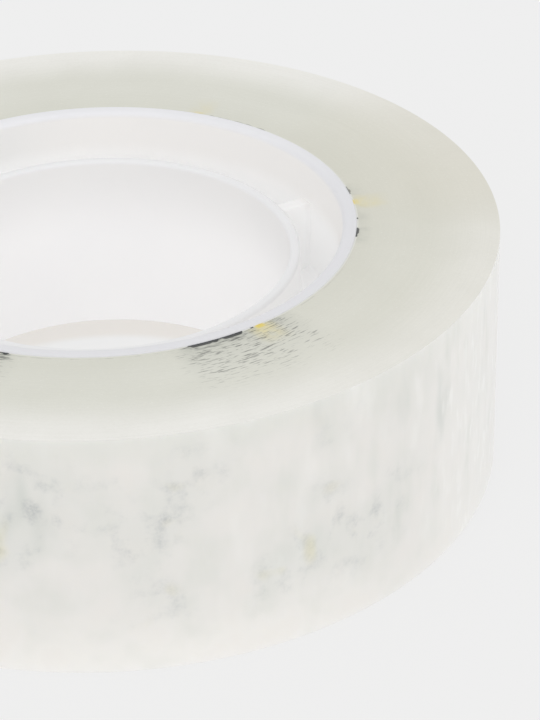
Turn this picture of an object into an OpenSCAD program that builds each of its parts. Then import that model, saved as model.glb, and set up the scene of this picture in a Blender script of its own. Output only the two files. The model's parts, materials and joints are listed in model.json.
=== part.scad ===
// Roll of clear stationery tape, lying flat on one rim of its core.
// A moulded core carries a printed band, and one long strip of tape is wound over the band.
// The roll's axis is Z, and the origin is the centre of the rim that it rests on.
// Azimuths are counted from +X towards +Y, and the strip winds outwards that way.

/* [Tape] */
// Width of the tape
tape_w = 18; // [12:0.5:25]
// Thickness of one turn, film and adhesive together
tape_t = 0.044; // [0.03:0.002:0.08]
// Length of tape on the roll, in metres
tape_len_m = 33; // [10:1:66]

/* [Free end] */
// Length of the free end that can be lifted off the roll
end_len = 16; // [6:1:25]
// Azimuth of the peel line, where the free end leaves the roll
end_az = 118; // [0:1:359]
// How much wider than the roll's own radius the free end curls
end_open = 8; // [1:0.5:20]
// Clearance under the free end at the peel line
end_gap = 0.03; // [0.01:0.01:0.1]
// Clearance along the strip at the peel line, so that the free end can turn
peel_gap = 0.1; // [0.05:0.01:0.5]

/* [Core hub] */
// Bore of the hub, which goes over a spindle
bore_d = 27; // [20:0.5:40]
// Wall of the hub at its rims
hub_wall = 0.7; // [0.5:0.1:1.5]
// How far the hub's rims lie below the outer ring's rims
hub_recess = 2.2; // [0.5:0.1:3.5]
// Fillet round the edges of the hub's rims
hub_fillet = 0.22; // [0.05:0.01:0.5]

/* [Core ring] */
// Radial width of the channel between the hub and the outer ring, at its mouth
channel_w = 3; // [1.5:0.1:8]
// Wall of the outer ring at its rims
ring_wall = 1; // [0.6:0.1:2]
// How far each rim of the outer ring stands out past the tape's edge
rim_proud = 0.1; // [0:0.05:0.5]
// Fillet round the inner edges of the outer ring's rims
ring_fillet = 0.4; // [0.1:0.05:0.8]
// Fillet round the outer edges of those rims, next to the tape
edge_fillet = 0.12; // [0.04:0.01:0.4]

/* [Core web and ribs] */
// Thickness of the web that joins the hub to the outer ring
web_t = 1; // [0.6:0.1:3]
// Draft of the channel's walls, in degrees from the axis
draft = 1; // [0:0.25:2]
// Fillet where the web meets the two walls
root_fillet = 0.5; // [0.1:0.05:1]
// Number of ribs in each channel
rib_count = 3; // [2:1:8]
// Thickness of a rib
rib_t = 1.1; // [0.8:0.1:2]
// How far a rib's end lies below the hub's rim
rib_drop = 1; // [0.1:0.1:2]
// Fillet where a rib meets the two walls
rib_fillet = 0.5; // [0.1:0.05:1]
// Azimuth of the first rib
rib_az = 27; // [0:1:119]

/* [Printed band] */
// Thickness of the printed band
band_t = 0.1; // [0.05:0.01:0.3]
// Opening between the band's two ends
band_seam = 0.8; // [0.2:0.1:3]
// Azimuth of that opening
band_az = 200; // [0:1:359]

/* [Hidden] */
$fn = 180;

MM_PER_M = 1000;
FILLET_STEPS = 5;
// Largest share of a wall's thickness that one fillet may take
FILLET_SHARE = 0.45;
// How far a cut runs past the faces that it opens
CUT = 1;
// Fillet of a corner that is buried in another wall
BURIED_FILLET = 0.05;

// Heights, from the middle of the core
ring_half = tape_w / 2 + rim_proud;
hub_half = ring_half - hub_recess;
rib_half = hub_half - rib_drop;
web_half = web_t / 2;

// Radii, from the bore outwards
bore_r = bore_d / 2;
hub_r = bore_r + hub_wall;
ring_r = hub_r + channel_w;
core_r = ring_r + ring_wall;
band_r = core_r + band_t;
roll_r = sqrt(band_r * band_r + tape_len_m * MM_PER_M * tape_t / PI);
under_r = roll_r - tape_t;
end_r = under_r + end_gap + end_open;

// Angles, in degrees
function arc_angle(length, radius) = length / radius * 180 / PI;
end_angle = arc_angle(end_len, end_r);
peel_angle = arc_angle(peel_gap, roll_r);
seam_angle = arc_angle(band_seam, band_r);

// The free end's curl is centred behind the roll's axis, so it leaves the roll along the tangent
tip_lift = norm([end_r * cos(end_angle) - end_open, end_r * sin(end_angle)]) - under_r;
turns = (roll_r - band_r) / tape_t;
echo(roll_diameter = 2 * roll_r, turns = turns);
echo(least_gap_under_free_end = end_gap, lift_of_its_tip = tip_lift);

// One corner of an outline, as the points of an arc of radius r that touches both of its sides
function unit(v) = v / norm(v);
function turned(v, a) = [v.x * cos(a) - v.y * sin(a), v.x * sin(a) + v.y * cos(a)];
function corner(before, at, after, r) =
    let (
        u = unit(before - at),
        v = unit(after - at),
        half = acos(u * v) / 2,
        centre = at + unit(u + v) * r / sin(half),
        first = at + u * r / tan(half) - centre,
        sweep = (180 - 2 * half) * sign(cross(v, u))
    )
    [for (i = [0:FILLET_STEPS]) centre + turned(first, sweep * i / FILLET_STEPS)];

// A closed outline from rows of [radius, height, fillet]
function outline(rows) =
    let (n = len(rows), p = [for (row = rows) [row[0], row[1]]])
    [for (i = [0:n - 1]) each corner(p[(i + n - 1) % n], p[i], p[(i + 1) % n], rows[i][2])];

// Section of the core: an outer ring and a shorter hub, joined by a web half-way up
module core_section() {
    ring_root = ring_r - (ring_half - web_half) * tan(draft);
    hub_root = hub_r + (hub_half - web_half) * tan(draft);
    ring_round = min(ring_fillet, FILLET_SHARE * ring_wall);
    edge_round = min(edge_fillet, FILLET_SHARE * ring_wall);
    hub_round = min(hub_fillet, FILLET_SHARE * hub_wall);
    root_round = min(root_fillet, FILLET_SHARE * (ring_root - hub_root));
    polygon(outline([
        [bore_r, -hub_half, hub_round],
        [hub_r, -hub_half, hub_round],
        [hub_root, -web_half, root_round],
        [ring_root, -web_half, root_round],
        [ring_r, -ring_half, ring_round],
        [core_r, -ring_half, edge_round],
        [core_r, ring_half, edge_round],
        [ring_r, ring_half, ring_round],
        [ring_root, web_half, root_round],
        [hub_root, web_half, root_round],
        [hub_r, hub_half, hub_round],
        [bore_r, hub_half, hub_round],
    ]));
}

// One rib along X, which runs through the web into both channels.
// Fillets flare it out to the two walls, and its ends are buried in them.
module rib() {
    half = rib_t / 2;
    start = hub_r - hub_wall / 2;
    stop = ring_r + ring_wall / 2;
    round = min(rib_fillet, FILLET_SHARE * channel_w);
    flare = half + round + 2 * BURIED_FILLET;
    root = sqrt(hub_r * hub_r - flare * flare);
    side = [
        [start, flare, BURIED_FILLET],
        [root, flare, BURIED_FILLET],
        [root, half, round],
        [ring_r, half, round],
        [ring_r, flare, BURIED_FILLET],
        [stop, flare, BURIED_FILLET],
    ];
    other_side = [for (i = [len(side) - 1:-1:0]) [side[i][0], -side[i][1], side[i][2]]];
    translate([0, 0, -rib_half]) linear_extrude(2 * rib_half) polygon(outline(concat(side, other_side)));
}

module core() {
    color("white") translate([0, 0, ring_half]) {
        rotate_extrude() core_section();
        for (i = [0:rib_count - 1]) rotate(rib_az + i * 360 / rib_count) rib();
    }
}

// What lies between two radii, as wide as the tape, from one azimuth through a sweep
module wrapped(inner, outer, from, sweep) {
    translate([0, 0, rim_proud]) rotate(from) rotate_extrude(angle = sweep)
        translate([inner, 0]) square([outer - inner, tape_w]);
}

module core_band() {
    color("gold") wrapped(core_r, band_r, band_az + seam_angle / 2, 360 - seam_angle);
}

// The wound tape grows by one thickness in its last turn, as a spiral of two half circles.
// The centre of the second half is moved towards the peel line by half that growth.
module tape_winding() {
    grow = tape_t / 2;
    color([0.86, 0.86, 0.81]) difference() {
        union() {
            wrapped(0, under_r, end_az, 180);
            translate(grow * [cos(end_az), sin(end_az), 0]) wrapped(0, under_r + grow, end_az + 180, 180);
        }
        translate([0, 0, -CUT]) cylinder(r = band_r, h = 2 * (ring_half + CUT));
    }
}

module tape_end() {
    root_az = end_az + peel_angle;
    color([0.92, 0.92, 0.9]) translate(-end_open * [cos(root_az), sin(root_az), 0])
        wrapped(end_r, end_r + tape_t, root_az, end_angle);
}

core();
core_band();
tape_winding();
tape_end();
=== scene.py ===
"""Looks of a roll of clear tape: a white moulded core, a printed band, the wound tape and its free end.

Everything is in metres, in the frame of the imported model: the roll's axis is Z, and the roll lies on z = 0.
"""
import json
import logging
import math
from abc import ABC, abstractmethod
from dataclasses import dataclass, field
from enum import Enum
from functools import cached_property
from typing import Any, ClassVar, NamedTuple

import bpy
import numpy as np
from mathutils import Matrix, Vector

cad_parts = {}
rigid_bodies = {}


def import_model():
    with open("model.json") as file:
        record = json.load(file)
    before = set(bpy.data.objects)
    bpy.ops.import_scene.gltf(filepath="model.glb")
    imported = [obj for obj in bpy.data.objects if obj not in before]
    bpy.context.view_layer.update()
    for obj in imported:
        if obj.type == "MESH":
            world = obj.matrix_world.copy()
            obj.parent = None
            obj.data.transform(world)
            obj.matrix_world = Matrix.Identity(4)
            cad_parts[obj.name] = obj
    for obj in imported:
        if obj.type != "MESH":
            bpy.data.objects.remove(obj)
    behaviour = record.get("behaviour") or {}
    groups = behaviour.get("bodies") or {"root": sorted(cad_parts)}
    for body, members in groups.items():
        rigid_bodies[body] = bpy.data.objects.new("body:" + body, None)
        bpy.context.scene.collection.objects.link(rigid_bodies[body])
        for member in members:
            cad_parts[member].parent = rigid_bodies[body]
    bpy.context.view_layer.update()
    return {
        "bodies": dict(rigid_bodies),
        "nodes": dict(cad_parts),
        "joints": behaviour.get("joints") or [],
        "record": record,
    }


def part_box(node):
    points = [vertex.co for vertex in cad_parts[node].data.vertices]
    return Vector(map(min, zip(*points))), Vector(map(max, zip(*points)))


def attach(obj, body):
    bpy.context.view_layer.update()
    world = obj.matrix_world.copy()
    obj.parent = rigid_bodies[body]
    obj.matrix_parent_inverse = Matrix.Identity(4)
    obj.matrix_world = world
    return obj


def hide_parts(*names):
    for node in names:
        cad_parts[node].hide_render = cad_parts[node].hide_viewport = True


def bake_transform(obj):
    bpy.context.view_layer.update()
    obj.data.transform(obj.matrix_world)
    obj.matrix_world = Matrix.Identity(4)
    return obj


LOG = logging.getLogger("tape_roll")
MM = 0.001
HALF = 0.5
# An arch u (1 - u) is a quarter high
ARCH_GAIN = 4.0
TURN = 2 * math.pi
TURN_STEPS = 288
SHARP_ANGLE = math.radians(35)
STRIP_T = 0.044 * MM
END_GAP = 0.03 * MM
TAPE_IOR = 1.48
# Light is passed on many times between the core's white walls
WHITE_BOUNCES = 24

Socket = bpy.types.NodeSocket
Tree = bpy.types.NodeTree
Material = bpy.types.Material
Mesh = bpy.types.Mesh
Piece = bpy.types.Object
Colour = tuple[float, float, float, float]
Point = tuple[float, float]
Faces = list[tuple[int, ...]]


class Body(Enum):
    """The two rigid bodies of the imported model."""

    ROLL = "roll"
    FREE_END = "free_end"


class Slot(Enum):
    """The record's material slots."""

    CORE = "core_plastic"
    BAND = "band_print"
    TAPE = "clear_tape"


class Grit(Enum):
    """How many finer layers a noise has, and how strong each is beside the one before it."""

    PLAIN = (1.0, 0.5)
    SOFT = (2.0, 0.5)
    ROUGH = (2.0, 0.6)
    BROKEN = (3.0, 0.55)
    FINE = (3.0, 0.6)


class Ramp(NamedTuple):
    """An ease from start to end as a value goes from low to high."""

    low: float
    high: float
    start: float = 0.0
    end: float = 1.0

    def past(self, place: float) -> "Ramp":
        """Move the ease along to a place."""
        return self._replace(low=self.low + place, high=self.high + place)


Eases = dict[str, Ramp | None]


class Layer(NamedTuple):
    """A colour that is laid over others, by the product of some signals, each eased if it has a ramp."""

    colour: Colour
    eases: Eases


class Waves(NamedTuple):
    """Upright streaks: how often they come round the roll, and their change in a millimetre of height."""

    often: float
    per_mm: float


def paint(red: float, green: float, blue: float) -> Colour:
    """Turn a colour as it is seen on screen into the linear one that shaders take, by the sRGB curve.

    Args:
        red: Red, from 0 to 255.
        green: Green, from 0 to 255.
        blue: Blue, from 0 to 255.

    Returns:
        The linear colour, with an alpha of 1.
    """
    shares = [value / 255 for value in (red, green, blue)]
    linear = [s / 12.92 if s <= 0.04045 else ((s + 0.055) / 1.055) ** 2.4 for s in shares]
    return linear[0], linear[1], linear[2], 1.0


class NodeCanvas:
    """A node tree under construction, with short ways to add and join its nodes."""

    def __init__(self, tree: Tree) -> None:
        """Start with an empty tree."""
        self.tree = tree
        tree.nodes.clear()

    def add(self, kind: str, inputs: dict[Any, Any] | None = None, **settings: Any) -> Any:
        """Add one node.

        Args:
            kind: The node's type name.
            inputs: Values or sockets by input name or index.
            settings: The node's own properties.

        Returns:
            The new node's outputs.
        """
        node = self.tree.nodes.new(kind)
        for name, value in settings.items():
            setattr(node, name, value)
        for key, value in (inputs or {}).items():
            self.feed(node.inputs[key], value)
        return node.outputs

    def feed(self, target: Socket, value: Any) -> None:
        """Join a socket to an input, or set the input's own value.

        Args:
            target: The input.
            value: The socket or the value.
        """
        if isinstance(value, Socket):
            self.tree.links.new(value, target)
        else:
            target.default_value = value

    def done(self, outputs: dict[str, Any]) -> Tree:
        """Give a group its outputs and hand its tree over."""
        self.add("NodeGroupOutput", outputs)
        return self.tree

    def math(self, operation: str, *values: Any, clamp: bool = False) -> Socket:
        """Add a Math node on one, two or three values."""
        return self.add("ShaderNodeMath", dict(enumerate(values)), operation=operation, use_clamp=clamp)[0]

    def plus(self, first: Any, second: Any) -> Socket:
        """Add two numbers."""
        return self.math("ADD", first, second)

    def minus(self, first: Any, second: Any) -> Socket:
        """Take the second number from the first."""
        return self.math("SUBTRACT", first, second)

    def over(self, first: Any, second: Any) -> Socket:
        """Divide the first number by the second."""
        return self.math("DIVIDE", first, second)

    def product(self, first: Any, *others: Any) -> Socket:
        """Multiply numbers.

        Args:
            first: The first number.
            others: The rest, if any.

        Returns:
            Their product.
        """
        for other in others:
            first = self.math("MULTIPLY", first, other)
        return first

    def line(self, value: Any, slope: Any, start: Any) -> Socket:
        """Follow a straight line: a value times a slope, plus a start."""
        return self.math("MULTIPLY_ADD", value, slope, start)

    def off(self, value: Any, place: Any) -> Socket:
        """Tell how far a value is from a place, either way."""
        return self.math("ABSOLUTE", self.minus(value, place))

    def above(self, value: Any, limit: Any) -> Socket:
        """Give 1 where a value is above a limit, and 0 elsewhere."""
        return self.math("GREATER_THAN", value, limit)

    def vector(self, operation: str, *values: Any) -> Socket:
        """Add a Vector Math node, whose result is a number for a length or a dot product."""
        outputs = self.add("ShaderNodeVectorMath", dict(enumerate(values)), operation=operation)
        return outputs["Value" if operation in ("LENGTH", "DOT_PRODUCT") else "Vector"]

    def scaled(self, vector: Any, scale: Any) -> Socket:
        """Scale a vector by a number."""
        inputs = {"Vector": vector, "Scale": scale}
        return self.add("ShaderNodeVectorMath", inputs, operation="SCALE")["Vector"]

    def combined(self, x: Any, y: Any, z: Any) -> Socket:
        """Join three numbers into a vector."""
        return self.add("ShaderNodeCombineXYZ", {"X": x, "Y": y, "Z": z})["Vector"]

    def split(self, vector: Any) -> tuple[Socket, ...]:
        """Split a vector into its three numbers."""
        return tuple(self.add("ShaderNodeSeparateXYZ", {"Vector": vector}))

    def noise(self, vector: Any, scale: Any = 1.0, grit: Grit = Grit.SOFT) -> Socket:
        """Add a Noise Texture.

        Args:
            vector: The place that it is read at.
            scale: How many of its waves go into a unit of length.
            grit: How fine it is.

        Returns:
            Its value, about 0.5 on the whole.
        """
        detail, roughness = grit.value
        inputs = {"Vector": vector, "Scale": scale, "Detail": detail, "Roughness": roughness}
        return self.add("ShaderNodeTexNoise", inputs)[0]

    def ramp(self, value: Any, ramp: Ramp) -> Socket:
        """Follow a ramp, which stays at its ends beyond them."""
        inputs = dict(zip(("Value", "From Min", "From Max", "To Min", "To Max"), (value, *ramp)))
        return self.add("ShaderNodeMapRange", inputs, interpolation_type="SMOOTHSTEP", clamp=True)[0]

    def mix(self, share: Any, first: Any, second: Any) -> Socket:
        """Mix two colours, where a share of 1 is the second."""
        inputs = {0: share, 6: first, 7: second}
        return self.add("ShaderNodeMix", inputs, data_type="RGBA", clamp_factor=True)[2]

    def tinted(self, tone: Any, colour: Any, *shares: Any) -> Socket:
        """Mix a colour into a tone, by the product of some shares."""
        return self.mix(self.product(*shares), tone, colour)

    def group(self, tree: Tree, inputs: dict[str, Any]) -> Any:
        """Place a shader node group with its own values."""
        return self.add("ShaderNodeGroup", inputs, node_tree=tree)


class SocketKind(Enum):
    """The kinds of socket that the groups and trees have."""

    NUMBER = "NodeSocketFloat"
    COUNT = "NodeSocketInt"
    VECTOR = "NodeSocketVector"
    GEOMETRY = "NodeSocketGeometry"
    MATERIAL = "NodeSocketMaterial"


Sockets = dict[str, SocketKind]


def sockets_for(values: dict[str, Any]) -> Sockets:
    """Give each value's name the kind of socket that the value fits."""
    kinds = {int: SocketKind.COUNT, float: SocketKind.NUMBER, Material: SocketKind.MATERIAL}
    return {name: kinds[type(value)] for name, value in values.items()}


def new_tree(name: str, kind: str, inputs: Sockets, outputs: Sockets) -> NodeCanvas:
    """Make an empty node group with named sockets.

    Args:
        name: The group's name.
        kind: ShaderNodeTree or GeometryNodeTree.
        inputs: Input names and their kinds.
        outputs: Output names and their kinds.

    Returns:
        A canvas on the new group.
    """
    tree = bpy.data.node_groups.new(name, kind)
    for in_out, sockets in (("INPUT", inputs), ("OUTPUT", outputs)):
        for socket, socket_kind in sockets.items():
            tree.interface.new_socket(socket, in_out=in_out, socket_type=socket_kind.value)
    return NodeCanvas(tree)


@dataclass(frozen=True)
class RollSizes:
    """The radii and heights that several pieces share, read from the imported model."""

    bore_r: float
    core_r: float
    band_r: float
    core_low: float
    core_high: float
    tape_low: float
    tape_high: float
    hinge: Vector

    @classmethod
    def from_frame(cls, frame: dict[str, Any]) -> "RollSizes":
        """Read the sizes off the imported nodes, the spindle mount and the peel joint.


        Returns:
            The sizes, in metres.
        """
        core_low, core_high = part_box("core")
        band_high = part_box("core_band")[1]
        tape_low, tape_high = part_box("tape_winding")
        bore = next(m for m in frame["record"]["mounts"] if m["name"] == "spindle_bore")
        return cls(
            bore_r=bore["dims"]["r_mm"] * MM,
            core_r=core_high.x,
            band_r=band_high.x,
            core_low=core_low.z,
            core_high=core_high.z,
            tape_low=tape_low.z,
            tape_high=tape_high.z,
            hinge=Vector(frame["joints"][0]["pos_m"]),
        )

    @property
    def film_r(self) -> float:
        """The free end's inner radius at the peel line."""
        return self.hinge.xy.length - STRIP_T / 2

    @property
    def under_r(self) -> float:
        """The roll's radius under the free end."""
        return self.film_r - END_GAP

    @property
    def middle(self) -> float:
        """The height of the core's middle plane."""
        return (self.core_low + self.core_high) / 2

    @property
    def peel_azimuth(self) -> float:
        """The azimuth of the peel line, in radians."""
        return math.atan2(self.hinge.y, self.hinge.x)


@dataclass(frozen=True)
class PrintLook:
    """The generic print on the band: clusters of dashes with a yellow spot in each."""

    clusters: int = 6
    phase: float = 0.53
    cluster: Ramp = Ramp(0.26, 0.182)
    dash_size: float = 1.7 * MM
    dash_level: float = 0.485
    dash_gain: float = 7.0
    yellow_place: float = 0.6
    yellow: Ramp = Ramp(0.026, 0.0078)
    tint: Ramp = Ramp(0.0676, 0.013)
    drawn_azimuth: float = math.radians(-90)


class SharedGroups:
    """The shader node groups that more than one material uses."""

    def __init__(self, sizes: RollSizes, look: PrintLook) -> None:
        """Build every group once.

        Args:
            sizes: The roll's shared sizes.
            look: The band's print.
        """
        self.sizes = sizes
        self.look = look
        self.roll_place = self.build_roll_place()
        self.band_print = self.build_band_print()
        self.mottle = self.build_mottle()

    def build_roll_place(self) -> Tree:
        """Build the group that gives a point's radius, height, direction and place on the band.

        Returns:
            The group's node tree.
        """
        number, vector = SocketKind.NUMBER, SocketKind.VECTOR
        outputs = {"Radius": number, "Height": number, "Around": vector, "On Band": vector}
        canvas = new_tree("Roll place", "ShaderNodeTree", {"Point": vector}, outputs)
        x, y, height = canvas.split(canvas.add("NodeGroupInput")["Point"])
        flat = canvas.combined(x, y, 0.0)
        around = canvas.vector("NORMALIZE", flat)
        out, up = canvas.scaled(around, self.sizes.band_r), canvas.combined(0.0, 0.0, height)
        on_band = canvas.vector("ADD", out, up)
        radius = canvas.vector("LENGTH", flat)
        return canvas.done({"Radius": radius, "Height": height, "Around": around, "On Band": on_band})

    def build_band_print(self) -> Tree:
        """Build the group that gives the band's print at a point on it.

        Ink is above 0 where the print is dark, and the higher the further inside a dash.

        Returns:
            The group's node tree.
        """
        look = self.look
        outputs = dict.fromkeys(("Ink", "Yellow", "Tint", "Cluster"), SocketKind.NUMBER)
        canvas = new_tree("Band print", "ShaderNodeTree", {"Point": SocketKind.VECTOR}, outputs)
        point = canvas.add("NodeGroupInput")["Point"]
        x, y, _ = canvas.split(point)
        azimuth = canvas.math("ARCTAN2", y, x)
        along = canvas.math("FRACT", canvas.line(azimuth, look.clusters / TURN, look.phase + look.clusters))
        cluster = canvas.ramp(canvas.off(along, HALF), look.cluster)
        off_yellow = canvas.off(along, look.yellow_place)
        yellow = canvas.ramp(off_yellow, look.yellow)
        level = canvas.noise(point, 1 / look.dash_size, Grit.ROUGH)
        level = canvas.line(level, look.dash_gain, -look.dash_gain * look.dash_level)
        away = canvas.minus(canvas.plus(1.0, yellow), cluster)
        ink = canvas.line(away, -look.dash_gain / 2, level)
        tint = canvas.ramp(off_yellow, look.tint)
        return canvas.done({"Ink": ink, "Yellow": yellow, "Tint": tint, "Cluster": cluster})

    def build_mottle(self) -> Tree:
        """Build the group that gives a fine grain and a soft cloud, both about 0.5 on the whole.

        Returns:
            The group's node tree.
        """
        number = SocketKind.NUMBER
        inputs = {"Point": SocketKind.VECTOR, "Grain Size": number, "Cloud Size": number}
        canvas = new_tree("Mottle", "ShaderNodeTree", inputs, {"Grain": number, "Cloud": number})
        given = canvas.add("NodeGroupInput")
        grain = canvas.noise(given["Point"], canvas.over(1.0, given["Grain Size"]), Grit.FINE)
        cloud = canvas.noise(given["Point"], canvas.over(1.0, given["Cloud Size"]), Grit.SOFT)
        return canvas.done({"Grain": grain, "Cloud": cloud})


class Surface:
    """A new material with its Principled shader, its canvas and the shared groups at hand."""

    def __init__(self, name: str, groups: SharedGroups) -> None:
        """Start a material.

        Args:
            name: The material's name.
            groups: The shared node groups.
        """
        self.material = bpy.data.materials.new(name)
        self.material.use_nodes = True
        self.canvas = NodeCanvas(self.material.node_tree)
        self.groups = groups
        self.shader = self.canvas.add("ShaderNodeBsdfPrincipled")[0]
        self.canvas.add("ShaderNodeOutputMaterial", {"Surface": self.shader})
        self.point = self.canvas.add("ShaderNodeTexCoord")["Object"]

    @cached_property
    def place(self) -> Any:
        """A point's radius, height, direction and place on the band."""
        return self.canvas.group(self.groups.roll_place, {"Point": self.point})

    @cached_property
    def depth(self) -> Socket:
        """The distance out from the band."""
        return self.canvas.minus(self.place["Radius"], self.groups.sizes.band_r)

    @cached_property
    def printed(self) -> Any:
        """The band's print, at a point's place on the band."""
        return self.canvas.group(self.groups.band_print, {"Point": self.place["On Band"]})

    @cached_property
    def facing(self) -> Socket:
        """The cosine of the angle from the azimuth where the print shows most."""
        return self.towards(self.groups.look.drawn_azimuth)

    def towards(self, azimuth: float) -> Socket:
        """Give the cosine of the angle between a point's direction from the axis and an azimuth."""
        aim = (math.cos(azimuth), math.sin(azimuth), 0.0)
        return self.canvas.vector("DOT_PRODUCT", self.place["Around"], aim)

    def mottle(self, grain: float, cloud: float) -> Any:
        """Place the grain and the cloud at these sizes, in metres."""
        inputs = {"Point": self.point, "Grain Size": grain, "Cloud Size": cloud}
        return self.canvas.group(self.groups.mottle, inputs)

    def along_turns(self, pitch: float, bends: Any, grit: Grit) -> Socket:
        """Draw a noise out along the turns.

        Args:
            pitch: Its size across the turns.
            bends: A direction or place round the roll, which it follows along the turns.
            grit: How fine it is.

        Returns:
            Its level, about 0.5 on the whole.
        """
        across = self.canvas.over(self.place["Radius"], pitch)
        x, y, _ = self.canvas.split(bends)
        return self.canvas.noise(self.canvas.combined(across, x, y), grit=grit)

    def upright(self, waves: Waves) -> Socket:
        """Draw soft upright streaks.

        Args:
            waves: How the streaks come and change.

        Returns:
            Their level, about 0.5 on the whole.
        """
        around = self.canvas.scaled(self.place["Around"], waves.often)
        tall = self.canvas.product(self.place["Height"], waves.per_mm / MM)
        return self.canvas.noise(self.canvas.vector("ADD", around, self.canvas.combined(0.0, 0.0, tall)))

    def layered(self, tone: Any, layers: tuple[Layer, ...], signals: dict[str, Any]) -> Any:
        """Lay colours over a tone, one after the other.

        Args:
            tone: The colour below them all.
            layers: The colours, and the signals that show them.
            signals: Those signals' sockets.

        Returns:
            The colour with every layer.
        """
        canvas = self.canvas
        for layer in layers:
            eases = [(signals[name], ramp) for name, ramp in layer.eases.items()]
            shares = [value if ramp is None else canvas.ramp(value, ramp) for value, ramp in eases]
            tone = canvas.tinted(tone, layer.colour, *shares)
        return tone

    def set(self, inputs: dict[str, Any]) -> None:
        """Set or join inputs of the shader."""
        for name, value in inputs.items():
            self.canvas.feed(self.shader.node.inputs[name], value)

    def bump(self, height: Socket, distance: float) -> None:
        """Feed a height from 0 to 1, which stands out by a distance, to the shader's normal."""
        bump = self.canvas.add("ShaderNodeBump", {"Height": height, "Distance": distance})
        self.set({"Normal": bump["Normal"]})


@dataclass(frozen=True)
class Finish(ABC):
    """A finish, which dresses a material of its own name and gives its shader some plain inputs."""

    name: ClassVar[str]
    plain: ClassVar[dict[str, Any]] = {}

    def material(self, groups: SharedGroups) -> Material:
        """Make the material and dress it.

        Args:
            groups: The shared node groups.

        Returns:
            The dressed material.
        """
        surface = Surface(self.name, groups)
        surface.set(self.plain)
        self.dress(surface)
        return surface.material

    @abstractmethod
    def dress(self, surface: Surface) -> None:
        """Join up the finish's nodes on a new surface."""


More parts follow.
